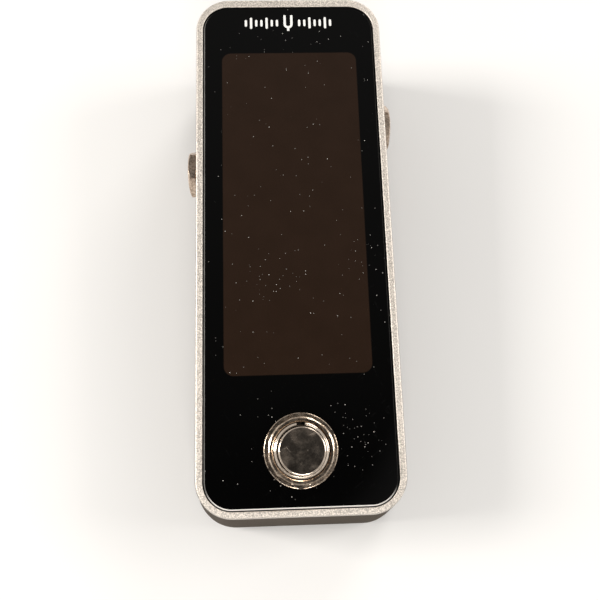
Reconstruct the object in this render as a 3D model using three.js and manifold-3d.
// A slim stompbox tuner: a wedge-shaped cast case, a full-length glossy lens with a display window,
// a latching footswitch, two 1/4 inch jacks, a barrel power inlet and a calibration button.
//
// Millimetres. The origin is on the floor under the middle of the case, +Y runs from the
// footswitch end to the display end, +X to the player's right and +Z up.
// Everything behind the sloping front panel is drawn in the panel's own frame: its origin is the
// centre of the panel, its z axis is the panel's normal, and z = 0 is the rim's top plane.

import * as THREE from 'three';
import { mergeVertices } from 'three/addons/utils/BufferGeometryUtils.js';
import Module from 'manifold-3d';

// ---------------------------------------------------------------- driving dimensions

const PANEL = { width: 46, length: 125.5, corner: 8.25 };
const PANEL_TILT = THREE.MathUtils.degToRad(4.5);
const FRONT_EDGE_HEIGHT = 27;
const FOOT = { width: 50.8, length: 130, corner: 9.8, z: 2 };
const FRONT_FLARE = 2.65;
const WALL = 2.2;
const RIM_ROUND = 0.6;

const LENS = {
  width: 42.3, length: 121.5, corner: 6.15, y: -0.3, thickness: 2, top: -0.1, chamfer: 0.3,
};
const LENS_MASK = { inset: 0.2, thickness: 0.2, switchHole: 7 };
const POCKET_GAP = 0.22;
const DECK = { top: -2.4, thickness: 2 };
const WINDOW = { width: 33.25, length: 80, corner: 2.2, y: 7.65 };
const DECK_OPENING = { width: 36.4, length: 83.2, corner: 1.5 };

const BASE_PLATE = {
  z: 2.1, thickness: 1.5, inset: 1.1, sinkRadius: 4.05, sinkDepth: 1.4, holeRadius: 1.65,
};
const CASE_SCREW = {
  x: 18.9, y: 58.6, columnRadius: 3.2, headRadius: 2.8, shankRadius: 1.3, headDepth: 1.6, length: 9.8,
  recessHalfWidth: 0.35, recessReach: 1.5, recessDepth: 0.8, holeRadius: 1.6, holeTop: 14,
};
const RUBBER_FOOT = { x: 15.5, y: 46, radius: 5, edge: 0.5 };

// Along a jack's own axis, measured outwards from the middle of the case.
const JACK = {
  depth: -16.5, outputY: 22.7, inputY: 35, reach: 26.65, plugBore: 3.25,
  bushing: { foot: 16.5, radius: 4.42, edge: 0.25 },
  hole: { radius: 4.72, from: 15, to: 25 },
  seat: { radius: 7.1, at: 23.4 },
  pad: { from: 21.1, to: 24, halfWidth: 8, halfHeight: 8.5 },
  washer: { inner: 4.62, outer: 6.3, from: 23.5, to: 24.1 },
  nut: { bore: 4.62, from: 24.2, to: 26.4 },
  body: { from: -2.5, to: 20.8, half: 6, bore: 3.45, recess: 4.8, recessFrom: 16.2 },
  springSlot: { halfWidth: 1.9, to: 11.4 },
};
const OUTPUT_NUT_TURN = THREE.MathUtils.degToRad(30);
const INPUT_NUT_TURN = THREE.MathUtils.degToRad(45);
const TIP_SPRING = {
  thickness: 0.35, halfWidth: 1.5,
  underside: [[11, 5.5], [9.6, 5.5], [2.2, 4], [0.8, 2.6], [-0.6, 4]],
};

// Along the inlet's and the key's own axes, y is measured from the panel's centre to the rear.
const REAR_WALL = 62.4;
const POWER_JACK = {
  x: 1.5, z: -16.2, noseRadius: 4.4, boreRadius: 3.15, boreEnd: 50.5, noseEnd: REAR_WALL - 0.3,
  block: { halfWidth: 4.5, front: 46, rear: 59.6, drop: 5.6 },
  slot: { halfWidth: 1.6, front: 44, rear: 58, drop: 7 },
  pin: { radius: 1, tipRadius: 0.6, front: 46.5, shoulder: 60.3, tip: 60.9, holeRadius: 1.3 },
};
const POWER_CONTACT = {
  thickness: 0.35, halfWidth: 1.2,
  top: [[47, -4.9], [48.6, -4.9], [55.4, -3.7], [56.8, -2.9], [57.4, -3.5]],
};
const CALIBRATION = {
  x: -11, z: -16.2, holeRadius: 2,
  key: { radius: 1.7, flange: 2.6, front: 57.6, flangeEnd: 58.6, edge: 0.3, end: REAR_WALL + 0.4 },
  body: { half: 3, front: 50.6, rear: 55.4 },
  stem: { radius: 1.6, end: 57 },
};

const MAIN_BOARD = {
  top: -9, thickness: 1.2, width: 40, front: -38.7, rear: 54.2, corner: 1.5, holeRadius: 1.3,
};
const BOARD_SCREW = {
  x: 17.2, front: -36.1, rear: 52, pillarRadius: 2.1, pilotRadius: 1.1,
  headRadius: 2, headHeight: 1.3, headEdge: 0.5, shankRadius: 0.8, length: 4.5,
};
const CHIP = { x: -1, y: -7, side: 10, thickness: 1.4 };
const CRYSTAL = { x: 11, y: -14, width: 4.6, length: 11, corner: 2.2, height: 3.5 };
const CAPACITOR = { x: -13, y: 1, radius: 3.2, height: 8 };
const BOARD_LINK = { halfWidth: 11, front: -30, rear: -27.5, top: -7.9 };
const DISPLAY_FILM = { top: -2.5, bottom: -3 };
const DISPLAY_BOARD = { top: -6.6, thickness: 1.2, width: 35.6, length: 82.4, corner: 1 };
const LIGHT_GRID = { columns: 3, rows: 8, web: 1.1, underFilm: 0.25 };

const HEX_14 = 14;
const HEX_11 = 11;
const CLEAR = 0.3;
const AIR = 0.1;
const THROUGH = 1;

// The footswitch, measured from where its axis meets the rim's plane.
const SWITCH_Y = -48.9;
const SWITCH_HOLE = { deck: 6.2, lens: 6.3 };
const WASHER = { inner: 6.05, outer: 8.12, thickness: 0.8 };
const NUT = { bore: 6.05, height: 2.45, turn: THREE.MathUtils.degToRad(88) };
const INNER_NUT = { bore: 6.05, bottom: -7.3, top: -5.2 };
const LOCK_WASHER = {
  inner: 6.1, outer: 7.2, tooth: 8, toothHalf: 0.55, teeth: 10, bottom: -5.05, top: -4.5,
};
const BUSHING = {
  radius: 5.85, bore: 5.12, top: 5, bottom: -8.2, floor: -6.6, floorBore: 2.7, edge: 0.35,
  keyHalf: 0.92, keyFrom: 5.27,
};
const BUTTON = { radius: 4.95, top: 9.5, underside: 1, stem: 2.1, stemEnd: -9.3, edge: 0.4 };
const SPRING = { radius: 3.5, wire: 0.4, turns: 4 };
const SNAP_RING = { outer: 3.5, bottom: -9.1, top: -8.5 };
const SWITCH_CASE = { half: 8.5, top: -8.3, bottom: -19.5, wall: 0.7, hole: 4.2 };
const ROCKER = { tilt: THREE.MathUtils.degToRad(7), pivot: -16, halfWidth: 1.2, reach: 5, half: 0.25 };
const ACTUATOR = {
  tilt: THREE.MathUtils.degToRad(8), pivot: -13.6, hole: 0.6,
  bar: { reach: 5.2, half: 1.3, bottom: -0.8, top: 1.2 },
  keel: { reach: 4.6, half: 0.6, bottom: -1.5 },
};
const TERMINAL_PLATE = { bottom: SWITCH_CASE.bottom + 0.1, top: -18, slotX: 1.2, slotY: 0.45 };
const LUG = { x: 3.6, y: 4.7, halfWidth: 1.1, half: 0.3, end: -22.8, top: -17.1, hole: 0.5, holeZ: -21.4 };
const RIBBON = {
  halfWidth: 4, thickness: 0.7, lean: 0.3,
  route: [[-39.6, -21.6], [-37, -21.6], [-33.4, -17.6], [-33.4, -13.4], [-31.6, -10.9], [-28, -10.9]],
};

const panelMiddleY = -FOOT.length / 2 + FRONT_FLARE + (PANEL.length / 2) * Math.cos(PANEL_TILT);
const panelMiddleZ = FRONT_EDGE_HEIGHT + (PANEL.length / 2) * Math.sin(PANEL_TILT);
const deckUnderside = DECK.top - DECK.thickness;
const boardUnderside = MAIN_BOARD.top - MAIN_BOARD.thickness;
const partsTop = boardUnderside - AIR;
const plateTop = BASE_PLATE.z + BASE_PLATE.thickness;

// ---------------------------------------------------------------- materials

const finish = (color, roughness, metalness, extra = {}) =>
  new THREE.MeshStandardMaterial({ color, roughness, metalness, ...extra });

const MATERIALS = {
  casting: finish(0xcfc8bd, 0.55, 1),
  blackSheet: finish(0x1c1c1d, 0.6, 0.2),
  rubber: finish(0x151515, 0.9, 0),
  lens: finish(0x08080a, 0.08, 0, { transparent: true, opacity: 0.35 }),
  blackPrint: finish(0x050505, 0.5, 0),
  smokedFilm: finish(0x1d1612, 0.45, 0),
  whitePlastic: finish(0xd8d8d4, 0.6, 0),
  board: finish(0x11361f, 0.5, 0),
  blackPlastic: finish(0x131313, 0.5, 0),
  chrome: finish(0xd9d2c8, 0.12, 1),
  steel: finish(0x9a9a9c, 0.35, 1),
  brass: finish(0xb08a4a, 0.3, 1),
  phenolic: finish(0x6b3d22, 0.6, 0),
  greyWire: finish(0x8c8c90, 0.6, 0),
};

// ---------------------------------------------------------------- solids and booleans

const wasm = await Module();
wasm.setup();

function toSolid(geometry) {
  const bare = geometry.clone();
  bare.deleteAttribute('normal');
  bare.deleteAttribute('uv');
  const merged = mergeVertices(bare, 1e-4);
  return new wasm.Manifold(new wasm.Mesh({
    numProp: 3,
    vertProperties: Float32Array.from(merged.attributes.position.array),
    triVerts: Uint32Array.from(merged.index.array),
  }));
}

function toGeometry(solid) {
  const mesh = solid.getMesh();
  const geometry = new THREE.BufferGeometry();
  geometry.setAttribute('position', new THREE.BufferAttribute(mesh.vertProperties, 3));
  geometry.setIndex(new THREE.BufferAttribute(mesh.triVerts, 1));
  return geometry;
}

const joined = (first, ...others) =>
  toGeometry(others.reduce((solid, other) => solid.add(toSolid(other)), toSolid(first)));
const cut = (body, ...tools) =>
  toGeometry(tools.reduce((solid, tool) => solid.subtract(toSolid(tool)), toSolid(body)));
const common = (first, second) => toGeometry(toSolid(first).intersect(toSolid(second)));

// ---------------------------------------------------------------- shape helpers

function roundedRect(width, length, corner, y = 0) {
  const x1 = width / 2 - corner;
  const y1 = length / 2 - corner;
  const shape = new THREE.Shape();
  shape.absarc(x1, y + y1, corner, 0, Math.PI / 2);
  shape.absarc(-x1, y + y1, corner, Math.PI / 2, Math.PI);
  shape.absarc(-x1, y - y1, corner, Math.PI, 1.5 * Math.PI);
  shape.absarc(x1, y - y1, corner, 1.5 * Math.PI, 2 * Math.PI);
  shape.closePath();
  return shape;
}

// The same outline as a ring of points, with equal steps round each corner, for lofting.
function rectRing(width, length, corner, place, steps = 8) {
  const ring = [];
  for (let quarter = 0; quarter < 4; quarter += 1) {
    const sideX = quarter === 0 || quarter === 3 ? 1 : -1;
    const sideY = quarter < 2 ? 1 : -1;
    for (let step = 0; step <= steps; step += 1) {
      const angle = ((quarter + step / steps) * Math.PI) / 2;
      const x = sideX * (width / 2 - corner) + corner * Math.cos(angle);
      const y = sideY * (length / 2 - corner) + corner * Math.sin(angle);
      ring.push(place(x, y));
    }
  }
  return ring;
}

// A closed skin through rings of matching points, flat across the first and last ring.
function loft(rings) {
  const count = rings[0].length;
  const index = [];
  for (let level = 0; level < rings.length - 1; level += 1) {
    for (let i = 0; i < count; i += 1) {
      const a = level * count + i;
      const b = level * count + ((i + 1) % count);
      index.push(a, b, b + count, a, b + count, a + count);
    }
  }
  const last = (rings.length - 1) * count;
  for (let i = 1; i < count - 1; i += 1) {
    index.push(0, i + 1, i);
    index.push(last, last + i, last + i + 1);
  }
  const geometry = new THREE.BufferGeometry();
  geometry.setAttribute('position',
    new THREE.Float32BufferAttribute(rings.flat().flatMap((p) => p.toArray()), 3));
  geometry.setIndex(index);
  return geometry;
}

function slab(shape, bottom, top, curveSegments = 6) {
  const geometry = new THREE.ExtrudeGeometry(shape, {
    depth: top - bottom, bevelEnabled: false, curveSegments,
  });
  return geometry.translate(0, 0, bottom);
}

function box(x0, x1, y0, y1, z0, z1) {
  const geometry = new THREE.BoxGeometry(x1 - x0, y1 - y0, z1 - z0);
  return geometry.translate((x0 + x1) / 2, (y0 + y1) / 2, (z0 + z1) / 2);
}

// A solid of revolution about z from [radius, height] pairs, either running from the axis to
// the axis with height rising, or closed on itself counter-clockwise in the r-z half plane.
function turned(profile, segments = 24) {
  const geometry = new THREE.LatheGeometry(profile.map(([r, z]) => new THREE.Vector2(r, z)), segments);
  return geometry.rotateX(Math.PI / 2);
}

const disc = (radius, bottom, top, segments = 24) =>
  turned([[0, bottom], [radius, bottom], [radius, top], [0, top]], segments);

const tube = (inner, outer, bottom, top, segments = 24) =>
  turned([[inner, bottom], [outer, bottom], [outer, top], [inner, top], [inner, bottom]], segments);

function hexagon(acrossFlats, turn = 0) {
  const radius = acrossFlats / Math.sqrt(3);
  const shape = new THREE.Shape();
  for (let corner = 0; corner < 6; corner += 1) {
    const angle = turn + (corner * Math.PI) / 3;
    const point = [radius * Math.cos(angle), radius * Math.sin(angle)];
    if (corner === 0) shape.moveTo(...point);
    else shape.lineTo(...point);
  }
  shape.closePath();
  return shape;
}

// A hex nut with its corners chamfered on the upper face.
function hexNut(acrossFlats, bore, bottom, top, turn = 0) {
  const beyondCorner = acrossFlats / Math.sqrt(3) + 0.2;
  const faceRadius = 0.97 * (acrossFlats / 2);
  const chamferDepth = 0.65;
  const chamfer = turned([
    [0, bottom], [beyondCorner, bottom], [beyondCorner, top - chamferDepth], [faceRadius, top], [0, top],
  ], 36);
  const blank = common(slab(hexagon(acrossFlats, turn), bottom, top), chamfer);
  return cut(blank, disc(bore, bottom - THROUGH, top + THROUGH));
}

// The outline of a bent strip, from one of its faces and the step to the other face.
function stripShape(face, stepX, stepY) {
  const shape = new THREE.Shape();
  face.forEach(([x, y], i) => {
    if (i === 0) shape.moveTo(x, y);
    else shape.lineTo(x, y);
  });
  [...face].reverse().forEach(([x, y]) => shape.lineTo(x + stepX, y + stepY));
  shape.closePath();
  return shape;
}

// Turns a solid built along +z so that it points along +x or -x, or along +y.
const alongX = (geometry, side) => geometry.rotateY((side * Math.PI) / 2);
const alongY = (geometry) => geometry.rotateX(-Math.PI / 2);

const tuner = new THREE.Group();
const panelGroup = new THREE.Group();
panelGroup.position.set(0, panelMiddleY, panelMiddleZ);
panelGroup.rotation.x = PANEL_TILT;
tuner.add(panelGroup);

function addPiece(name, geometry, material, group = panelGroup) {
  const mesh = new THREE.Mesh(geometry, material);
  mesh.name = name;
  group.add(mesh);
  return mesh;
}

// ---------------------------------------------------------------- case

const panelToCase = new THREE.Matrix4()
  .makeRotationX(PANEL_TILT)
  .setPosition(0, panelMiddleY, panelMiddleZ);
const onPanel = (z) => (x, y) => new THREE.Vector3(x, y, z).applyMatrix4(panelToCase);
const atHeight = (z) => (x, y) => new THREE.Vector3(x, y, z);
const inCaseFrame = (geometry) => geometry.applyMatrix4(panelToCase);

function caseBlank() {
  const foot = rectRing(FOOT.width, FOOT.length, FOOT.corner, atHeight(FOOT.z));
  const edge = rectRing(PANEL.width, PANEL.length, PANEL.corner, onPanel(0));
  const rings = [foot];
  const belowRim = 0.02;
  rings.push(edge.map((point, i) => point.clone().lerp(foot[i], belowRim)));
  for (const angle of [30, 60, 90]) {
    const inset = RIM_ROUND * (1 - Math.cos(THREE.MathUtils.degToRad(angle)));
    const drop = RIM_ROUND * (1 - Math.sin(THREE.MathUtils.degToRad(angle)));
    rings.push(rectRing(PANEL.width - 2 * inset, PANEL.length - 2 * inset,
      PANEL.corner - inset, onPanel(-drop)));
  }
  return loft(rings);
}

function caseCavity() {
  const thick = 2 * WALL;
  const draftAtDeck = 0.8;
  return loft([
    rectRing(FOOT.width - thick, FOOT.length - thick, FOOT.corner - WALL, atHeight(FOOT.z - THROUGH)),
    rectRing(PANEL.width - thick + draftAtDeck, PANEL.length - thick + draftAtDeck,
      PANEL.corner - WALL, onPanel(deckUnderside)),
  ]);
}

// Every jack piece is drawn along +z, with the panel outwards, then laid along the x axis.
function placeJack(geometry, side, y) {
  return alongX(geometry, side).translate(0, y, JACK.depth);
}

// A piece drawn along +z, pointed out of the rear wall.
const placeRear = (geometry, { x, z }) => alongY(geometry).translate(x, 0, z);

// The two x limits of something that lies on one side of the case, lower first.
const between = (side, from, to) => [side * from, side * to].sort((a, b) => a - b);

function plateRing(grow, z) {
  const inset = 2 * (BASE_PLATE.inset - grow);
  return rectRing(FOOT.width - inset, FOOT.length - inset, FOOT.corner - inset / 2, atHeight(z));
}

const FOUR_CORNERS = [[-1, -1], [1, -1], [-1, 1], [1, 1]];

const caseScrewPlaces = () => FOUR_CORNERS.map(([sx, sy]) => [sx * CASE_SCREW.x, sy * CASE_SCREW.y]);

const boardScrewPlaces = () => FOUR_CORNERS.map(([sx, sy]) =>
  [sx * BOARD_SCREW.x, sy < 0 ? BOARD_SCREW.front : BOARD_SCREW.rear]);

// A round seat milled flat into the drafted side wall, and the hole for a jack's bushing.
function jackSeat(side, y) {
  const { seat, hole } = JACK;
  const tools = [disc(seat.radius, seat.at, FOOT.width, 32), disc(hole.radius, hole.from, hole.to, 24)];
  return tools.map((tool) => inCaseFrame(placeJack(tool, side, y)));
}

// Inside the wall, a pad keeps the metal thick behind the milled seat.
function jackPad(side, y) {
  const { from, to, halfWidth, halfHeight } = JACK.pad;
  return inCaseFrame(box(...between(side, from, to), y - halfWidth, y + halfWidth,
    JACK.depth - halfHeight, JACK.depth + halfHeight));
}

// The screw columns, the board's pillars and the jack pads, trimmed to the outside of the case.
function insideFeatures(blank) {
  const columns = caseScrewPlaces().map(([x, y]) =>
    disc(CASE_SCREW.columnRadius, plateTop, FRONT_EDGE_HEIGHT * 2, 16).translate(x, y, 0));
  const pillars = boardScrewPlaces().map(([x, y]) =>
    inCaseFrame(disc(BOARD_SCREW.pillarRadius, MAIN_BOARD.top + AIR, DECK.top - THROUGH, 12)
      .translate(x, y, 0)));
  const pads = [jackPad(-1, JACK.outputY), jackPad(1, JACK.inputY)];
  return [...columns, ...pillars, ...pads].map((piece) => common(piece, blank));
}

// The lens's pocket, the deck's window and switch hole, and the rebate for the base plate.
function frontAndBaseCuts() {
  const pocket = roundedRect(LENS.width + 2 * POCKET_GAP, LENS.length + 2 * POCKET_GAP,
    LENS.corner + POCKET_GAP, LENS.y);
  const { width, length, corner } = DECK_OPENING;
  const opening = roundedRect(width, length, corner, WINDOW.y);
  return [
    inCaseFrame(slab(pocket, DECK.top, DECK.thickness)),
    inCaseFrame(slab(opening, deckUnderside - THROUGH, 0, 2)),
    inCaseFrame(disc(SWITCH_HOLE.deck, deckUnderside - THROUGH, 0).translate(0, SWITCH_Y, 0)),
    loft([plateRing(CLEAR, FOOT.z - THROUGH), plateRing(CLEAR, plateTop + AIR / 2)]),
  ];
}

function screwHoles() {
  const forCase = caseScrewPlaces().map(([x, y]) =>
    disc(CASE_SCREW.holeRadius, BASE_PLATE.z, CASE_SCREW.holeTop, 12).translate(x, y, 0));
  const forBoard = boardScrewPlaces().map(([x, y]) =>
    inCaseFrame(disc(BOARD_SCREW.pilotRadius, MAIN_BOARD.top - THROUGH, deckUnderside - THROUGH / 2, 10)
      .translate(x, y, 0)));
  return [...forCase, ...forBoard];
}

function rearHole(radius, place, segments) {
  const fromInside = REAR_WALL - 7;
  return inCaseFrame(placeRear(disc(radius, fromInside, FOOT.length, segments), place));
}

function enclosure() {
  const blank = caseBlank();
  const shell = cut(blank, caseCavity());
  const body = joined(shell, ...insideFeatures(blank));
  return cut(body, ...frontAndBaseCuts(), ...screwHoles(),
    ...jackSeat(-1, JACK.outputY), ...jackSeat(1, JACK.inputY),
    rearHole(POWER_JACK.noseRadius + CLEAR, POWER_JACK, 24),
    rearHole(CALIBRATION.holeRadius, CALIBRATION, 16));
}

function basePlate() {
  const { z, sinkRadius, sinkDepth, holeRadius } = BASE_PLATE;
  const sinks = caseScrewPlaces().map(([x, y]) => turned([
    [0, z - THROUGH], [sinkRadius, z - THROUGH], [holeRadius, z + sinkDepth],
    [holeRadius, plateTop + THROUGH], [0, plateTop + THROUGH],
  ], 16).translate(x, y, 0));
  return cut(loft([plateRing(0, z), plateRing(0, plateTop)]), ...sinks);
}

// A countersunk screw with a cross recess in its head, pointing up into the case.
function caseScrew() {
  const { headRadius, shankRadius, headDepth, length } = CASE_SCREW;
  const { recessHalfWidth, recessReach, recessDepth } = CASE_SCREW;
  const bottom = BASE_PLATE.z + AIR / 2;
  const point = 0.6;
  const body = turned([
    [0, bottom], [headRadius, bottom], [shankRadius, bottom + headDepth],
    [shankRadius, bottom + length - point], [shankRadius - point, bottom + length],
    [0, bottom + length],
  ], 16);
  const recess = [[recessReach, recessHalfWidth], [recessHalfWidth, recessReach]].map(([x, y]) =>
    box(-x, x, -y, y, bottom - THROUGH, bottom + recessDepth));
  return cut(body, ...recess);
}

function rubberFoot() {
  const { radius, edge } = RUBBER_FOOT;
  const top = BASE_PLATE.z - AIR / 2;
  return turned([[0, 0], [radius - edge, 0], [radius, edge], [radius, top], [0, top]], 20);
}

function addCase() {
  addPiece('enclosure', enclosure(), MATERIALS.casting, tuner);
  addPiece('base_plate', basePlate(), MATERIALS.blackSheet, tuner);
  caseScrewPlaces().forEach(([x, y], i) => {
    addPiece(`base_screw_${i + 1}`, caseScrew(), MATERIALS.steel, tuner).position.set(x, y, 0);
  });
  FOUR_CORNERS.forEach(([sx, sy], i) => {
    addPiece(`rubber_foot_${i + 1}`, rubberFoot(), MATERIALS.rubber, tuner)
      .position.set(sx * RUBBER_FOOT.x, sy * RUBBER_FOOT.y, 0);
  });
}

// ---------------------------------------------------------------- lens and display

// The clear lens: a flat plate with a narrow polished chamfer and a hole for the footswitch.
function frontLens() {
  const { width, length, corner, y, top, thickness, chamfer } = LENS;
  const bottom = top - thickness;
  const plate = loft([
    rectRing(width, length, corner, atHeight(bottom)),
    rectRing(width, length, corner, atHeight(top - chamfer)),
    rectRing(width - 2 * chamfer, length - 2 * chamfer, corner - chamfer, atHeight(top)),
  ]).translate(0, y, 0);
  return cut(plate, disc(SWITCH_HOLE.lens, bottom - THROUGH, THROUGH).translate(0, SWITCH_Y, 0));
}

// The black print and tape behind the lens, open at the window and round the footswitch.
function lensMask() {
  const { inset, thickness, switchHole } = LENS_MASK;
  const top = LENS.top - LENS.thickness - AIR / 2;
  const outline = roundedRect(LENS.width - 2 * inset, LENS.length - 2 * inset, LENS.corner - inset,
    LENS.y);
  const opening = roundedRect(WINDOW.width, WINDOW.length, WINDOW.corner, WINDOW.y);
  return cut(slab(outline, top - thickness, top), slab(opening, top - THROUGH, top + THROUGH),
    disc(switchHole, top - THROUGH, top + THROUGH).translate(0, SWITCH_Y, 0));
}

// The reflector frame between the film and the board, one open cell for each block of light.
function lightGrid() {
  const { columns, rows, web, underFilm } = LIGHT_GRID;
  const { width, length, corner } = DISPLAY_BOARD;
  const cellWidth = (width - web) / columns - web;
  const cellLength = (length - web) / rows - web;
  const bottom = DISPLAY_BOARD.top + CLEAR;
  const top = DISPLAY_FILM.bottom - underFilm;
  const cells = [];
  for (let row = 0; row < rows; row += 1) {
    for (let column = 0; column < columns; column += 1) {
      const x = -width / 2 + web + column * (cellWidth + web);
      const y = WINDOW.y - length / 2 + web + row * (cellLength + web);
      cells.push(box(x, x + cellWidth, y, y + cellLength, bottom - THROUGH, top + THROUGH));
    }
  }
  return cut(slab(roundedRect(width, length, corner, WINDOW.y), bottom, top, 2), ...cells);
}

// A sheet with the display board's outline: the board itself, or the film over its lights.
function displaySheet(bottom, top) {
  const { width, length, corner } = DISPLAY_BOARD;
  return slab(roundedRect(width, length, corner, WINDOW.y), bottom, top, 2);
}

function mainBoard() {
  const { width, front, rear, top, thickness, corner, holeRadius } = MAIN_BOARD;
  const outline = roundedRect(width, rear - front, corner, (rear + front) / 2);
  const holes = boardScrewPlaces().map(([x, y]) =>
    disc(holeRadius, boardUnderside - THROUGH, top + THROUGH, 10).translate(x, y, 0));
  return cut(slab(outline, top - thickness, top, 2), ...holes);
}

// A pan-head screw that holds the main board up against its pillar.
function boardScrew() {
  const { headRadius, headHeight, headEdge, shankRadius, length } = BOARD_SCREW;
  const crown = partsTop - headHeight;
  return turned([
    [0, crown], [headRadius - headEdge, crown], [headRadius, crown + headEdge], [headRadius, partsTop],
    [shankRadius, partsTop], [shankRadius, partsTop + length], [0, partsTop + length],
  ], 12);
}

function processorChip() {
  const half = CHIP.side / 2;
  return box(CHIP.x - half, CHIP.x + half, CHIP.y - half, CHIP.y + half,
    partsTop - CHIP.thickness, partsTop);
}

function timingCrystal() {
  const { x, y, width, length, corner, height } = CRYSTAL;
  return slab(roundedRect(width, length, corner, y), partsTop - height, partsTop, 3).translate(x, 0, 0);
}

function filterCapacitor() {
  const { x, y, radius, height } = CAPACITOR;
  return disc(radius, partsTop - height, partsTop, 16).translate(x, y, 0);
}

function boardLink() {
  const { halfWidth, front, rear, top } = BOARD_LINK;
  return box(-halfWidth, halfWidth, front, rear, MAIN_BOARD.top + AIR, top);
}

function addDisplay() {
  addPiece('front_lens', frontLens(), MATERIALS.lens);
  addPiece('lens_mask', lensMask(), MATERIALS.blackPrint);
  addPiece('display_film', displaySheet(DISPLAY_FILM.bottom, DISPLAY_FILM.top), MATERIALS.smokedFilm);
  addPiece('light_grid', lightGrid(), MATERIALS.whitePlastic);
  addPiece('display_board', displaySheet(DISPLAY_BOARD.top - DISPLAY_BOARD.thickness, DISPLAY_BOARD.top),
    MATERIALS.board);
  addPiece('board_link', boardLink(), MATERIALS.blackPlastic);
  addPiece('main_board', mainBoard(), MATERIALS.board);
  boardScrewPlaces().forEach(([x, y], i) => {
    addPiece(`board_screw_${i + 1}`, boardScrew(), MATERIALS.steel).position.set(x, y, 0);
  });
  addPiece('processor_chip', processorChip(), MATERIALS.blackPlastic);
  addPiece('timing_crystal', timingCrystal(), MATERIALS.steel);
  addPiece('filter_capacitor', filterCapacitor(), MATERIALS.blackPlastic);
}

// ---------------------------------------------------------------- jacks

function jackBushing() {
  const { foot, radius, edge } = JACK.bushing;
  const { reach, plugBore } = JACK;
  return turned([
    [plugBore, foot], [radius, foot], [radius, reach - edge], [radius - edge, reach],
    [plugBore + edge, reach], [plugBore, reach - edge], [plugBore, foot],
  ], 28);
}

// The plastic body: a block bored for the plug, with a slot above the bore for the tip spring.
function jackBody(side, y) {
  const { from, to, half, bore, recess, recessFrom } = JACK.body;
  const { springSlot } = JACK;
  const block = box(...between(side, from, to), y - half, y + half, JACK.depth - half,
    boardUnderside - 2 * AIR);
  return cut(block,
    placeJack(disc(bore, from - THROUGH, to + THROUGH, 24), side, y),
    placeJack(disc(recess, recessFrom, to + THROUGH, 24), side, y),
    box(...between(side, from - THROUGH, springSlot.to), y - springSlot.halfWidth,
      y + springSlot.halfWidth, JACK.depth, MAIN_BOARD.top));
}

// A bent strip fixed at its outer end; its crest rests just inside the plug's path.
function tipSpring(side, y) {
  const { thickness, halfWidth, underside } = TIP_SPRING;
  const strip = slab(stripShape(underside, 0, thickness), -halfWidth, halfWidth).rotateX(Math.PI / 2);
  const turnedRound = side < 0 ? strip.rotateZ(Math.PI) : strip;
  return turnedRound.translate(0, y, JACK.depth);
}

function addJack(name, side, y, nutTurn) {
  addPiece(`${name}_jack_body`, jackBody(side, y), MATERIALS.blackPlastic);
  addPiece(`${name}_jack_bushing`, placeJack(jackBushing(), side, y), MATERIALS.chrome);
  const { washer, nut } = JACK;
  const ring = tube(washer.inner, washer.outer, washer.from, washer.to, 32);
  addPiece(`${name}_jack_washer`, placeJack(ring, side, y), MATERIALS.chrome);
  const hex = hexNut(HEX_11, nut.bore, nut.from, nut.to, nutTurn);
  addPiece(`${name}_jack_nut`, placeJack(hex, side, y), MATERIALS.chrome);
  addPiece(`${name}_tip_spring`, tipSpring(side, y), MATERIALS.brass);
}

// ---------------------------------------------------------------- power inlet and calibration

// The inlet's block hangs under the board; its round nose fills the hole in the rear wall.
function powerJackBody() {
  const { x, z, noseRadius, noseEnd, boreRadius, boreEnd, block, slot, pin } = POWER_JACK;
  const body = box(x - block.halfWidth, x + block.halfWidth, block.front, block.rear,
    z - block.drop, boardUnderside - 2 * AIR);
  const nose = placeRear(disc(noseRadius, slot.rear, noseEnd, 28), POWER_JACK);
  const bore = placeRear(disc(boreRadius, boreEnd, noseEnd + THROUGH, 24), POWER_JACK);
  const pinHole = placeRear(disc(pin.holeRadius, slot.front, boreEnd + THROUGH, 12), POWER_JACK);
  const contactSlot = box(x - slot.halfWidth, x + slot.halfWidth, slot.front, slot.rear,
    z - slot.drop, z);
  return cut(joined(body, nose), bore, pinHole, contactSlot);
}

function powerJackPin() {
  const { radius, tipRadius, front, shoulder, tip } = POWER_JACK.pin;
  const pin = turned([[0, front], [radius, front], [radius, shoulder], [tipRadius, tip], [0, tip]], 12);
  return placeRear(pin, POWER_JACK);
}

function powerJackContact() {
  const { thickness, halfWidth, top } = POWER_CONTACT;
  return slab(stripShape(top, 0, -thickness), -halfWidth, halfWidth)
    .rotateX(Math.PI / 2).rotateZ(Math.PI / 2).translate(POWER_JACK.x, 0, POWER_JACK.z);
}

function calibrationButton() {
  const { radius, flange, front, flangeEnd, edge, end } = CALIBRATION.key;
  return placeRear(turned([
    [0, front], [flange, front], [flange, flangeEnd], [radius, flangeEnd],
    [radius, end - edge], [radius - edge, end], [0, end],
  ], 16), CALIBRATION);
}

function calibrationSwitch() {
  const { x, z, body, stem } = CALIBRATION;
  const block = box(x - body.half, x + body.half, body.front, body.rear, z - body.half,
    boardUnderside - 2 * AIR);
  return joined(block, placeRear(disc(stem.radius, body.rear - AIR, stem.end, 12), CALIBRATION));
}

function addRearControls() {
  addPiece('power_jack_body', powerJackBody(), MATERIALS.blackPlastic);
  addPiece('power_jack_pin', powerJackPin(), MATERIALS.steel);
  addPiece('power_jack_contact', powerJackContact(), MATERIALS.steel);
  addPiece('calibration_button', calibrationButton(), MATERIALS.blackPlastic);
  addPiece('calibration_switch', calibrationSwitch(), MATERIALS.blackPlastic);
}

// ---------------------------------------------------------------- footswitch

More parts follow.
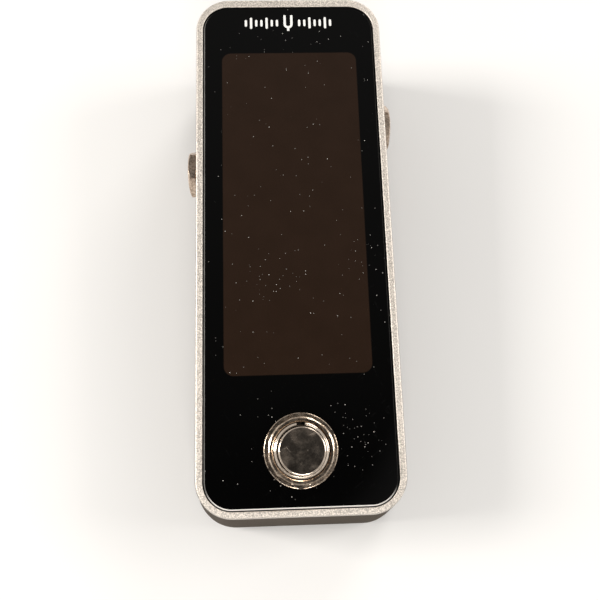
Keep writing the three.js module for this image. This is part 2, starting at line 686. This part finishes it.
// The threaded bushing, with a keyway down the side that faces the display.
function switchBushing() {
  const { radius, bore, top, bottom, floor, floorBore, edge, keyHalf, keyFrom } = BUSHING;
  const body = turned([
    [floorBore, bottom], [radius, bottom], [radius, top - edge], [radius - edge, top],
    [bore, top], [bore, floor], [floorBore, floor], [floorBore, bottom],
  ], 36);
  const keyway = box(-keyHalf, keyHalf, keyFrom, radius + THROUGH, bottom - THROUGH, top + THROUGH);
  return cut(body, keyway);
}

function switchButton() {
  const { radius, top, underside, stem, stemEnd, edge } = BUTTON;
  const roundMiddle = edge * (1 - Math.SQRT1_2);
  return turned([
    [0, stemEnd], [stem, stemEnd], [stem, underside], [radius, underside],
    [radius, top - edge], [radius - roundMiddle, top - roundMiddle], [radius - edge, top], [0, top],
  ], 36);
}

class Helix extends THREE.Curve {
  constructor(radius, bottom, top, turns) {
    super();
    Object.assign(this, { radius, bottom, top, turns });
  }

  getPoint(t, target = new THREE.Vector3()) {
    const angle = t * this.turns * 2 * Math.PI;
    return target.set(this.radius * Math.cos(angle), this.radius * Math.sin(angle),
      this.bottom + t * (this.top - this.bottom));
  }
}

function returnSpring() {
  const { radius, wire, turns } = SPRING;
  const path = new Helix(radius, BUSHING.floor + wire + AIR, BUTTON.underside - wire - AIR, turns);
  const section = new THREE.Shape().absarc(0, 0, wire, 0, 2 * Math.PI);
  return new THREE.ExtrudeGeometry(section, { steps: turns * 10, curveSegments: 3, extrudePath: path });
}

// A snap ring under the bushing's floor stops the button from rising out.
const snapRing = () => tube(BUTTON.stem + AIR, SNAP_RING.outer, SNAP_RING.bottom, SNAP_RING.top, 20);

function switchCase() {
  const { half, top, bottom, wall, hole } = SWITCH_CASE;
  const inner = half - wall;
  return cut(box(-half, half, -half, half, bottom, top),
    box(-inner, inner, -inner, inner, bottom - THROUGH, top - wall),
    disc(hole, top - wall - THROUGH, top + THROUGH, 20));
}

const lugPlaces = () => [-LUG.x, LUG.x].flatMap((x) => [-LUG.y, 0, LUG.y].map((y) => [x, y]));

function terminalPlate() {
  const { bottom, top, slotX, slotY } = TERMINAL_PLATE;
  const edge = SWITCH_CASE.half - SWITCH_CASE.wall - AIR;
  const slots = lugPlaces().map(([x, y]) =>
    box(x - slotX, x + slotX, y - slotY, y + slotY, bottom - THROUGH, top + THROUGH));
  return cut(box(-edge, edge, -edge, edge, bottom, top), ...slots);
}

// The middle lug of each pole reaches up to just under its rocker's pivot.
function solderLug(y) {
  const { halfWidth, half, end, hole, holeZ } = LUG;
  const top = y === 0 ? ROCKER.pivot - ROCKER.half - AIR : LUG.top;
  const blade = box(-halfWidth, halfWidth, -half, half, end, top);
  return cut(blade, disc(hole, -THROUGH, THROUGH, 10).rotateX(Math.PI / 2).translate(0, 0, holeZ));
}

// A see-saw contact that rests over the middle lug and leans on one of the outer two.
function contactRocker() {
  const { halfWidth, reach, half, tilt } = ROCKER;
  return box(-halfWidth, halfWidth, -reach, reach, -half, half).rotateX(-tilt);
}

// The swinging block that the plunger's cam flips at each press; both contacts follow it.
function switchActuator() {
  const { bar, keel, hole, tilt } = ACTUATOR;
  const block = joined(box(-bar.reach, bar.reach, -bar.half, bar.half, bar.bottom, bar.top),
    box(-keel.reach, keel.reach, -keel.half, keel.half, keel.bottom, 0));
  const axle = alongX(disc(hole, -bar.reach - THROUGH, bar.reach + THROUGH, 12), 1);
  return cut(block, axle).rotateX(tilt);
}

function lockWasher() {
  const { inner, outer, tooth, toothHalf, teeth, bottom, top } = LOCK_WASHER;
  const toothPieces = Array.from({ length: teeth }, (_, i) =>
    box(outer - 2 * AIR, tooth, -toothHalf, toothHalf, bottom, top).rotateZ((i * 2 * Math.PI) / teeth));
  return joined(tube(inner, outer, bottom, top, 30), ...toothPieces);
}

function switchRibbon() {
  const { halfWidth, thickness, lean, route } = RIBBON;
  return slab(stripShape(route, lean, -thickness), -halfWidth, halfWidth)
    .rotateX(Math.PI / 2).rotateZ(Math.PI / 2);
}

function addFootswitch() {
  const footswitch = new THREE.Group();
  footswitch.position.y = SWITCH_Y;
  panelGroup.add(footswitch);
  const add = (name, geometry, material) => addPiece(name, geometry, material, footswitch);
  const washerBottom = LENS.top + AIR / 2;
  const nutBottom = washerBottom + WASHER.thickness + AIR;
  add('footswitch_washer', tube(WASHER.inner, WASHER.outer, washerBottom,
    washerBottom + WASHER.thickness, 48), MATERIALS.chrome);
  add('footswitch_nut', hexNut(HEX_14, NUT.bore, nutBottom, nutBottom + NUT.height, NUT.turn),
    MATERIALS.chrome);
  add('footswitch_lock_washer', lockWasher(), MATERIALS.steel);
  add('footswitch_inner_nut', hexNut(HEX_14, INNER_NUT.bore, INNER_NUT.bottom, INNER_NUT.top),
    MATERIALS.steel);
  add('footswitch_bushing', switchBushing(), MATERIALS.chrome);
  add('footswitch_button', switchButton(), MATERIALS.chrome);
  add('footswitch_spring', returnSpring(), MATERIALS.steel);
  add('footswitch_snap_ring', snapRing(), MATERIALS.steel);
  add('footswitch_case', switchCase(), MATERIALS.steel);
  add('footswitch_actuator', switchActuator(), MATERIALS.whitePlastic).position.z = ACTUATOR.pivot;
  add('footswitch_terminal_plate', terminalPlate(), MATERIALS.phenolic);
  [-LUG.x, LUG.x].forEach((x, i) => {
    add(`contact_rocker_${i + 1}`, contactRocker(), MATERIALS.brass).position.set(x, 0, ROCKER.pivot);
  });
  lugPlaces().forEach(([x, y], i) => {
    add(`solder_lug_${i + 1}`, solderLug(y), MATERIALS.brass).position.set(x, y, 0);
  });
  addPiece('switch_ribbon', switchRibbon(), MATERIALS.greyWire);
}

// ---------------------------------------------------------------- assembly

addCase();
addDisplay();
addJack('output', -1, JACK.outputY, OUTPUT_NUT_TURN);
addJack('input', 1, JACK.inputY, INPUT_NUT_TURN);
addRearControls();
addFootswitch();

export default tuner;
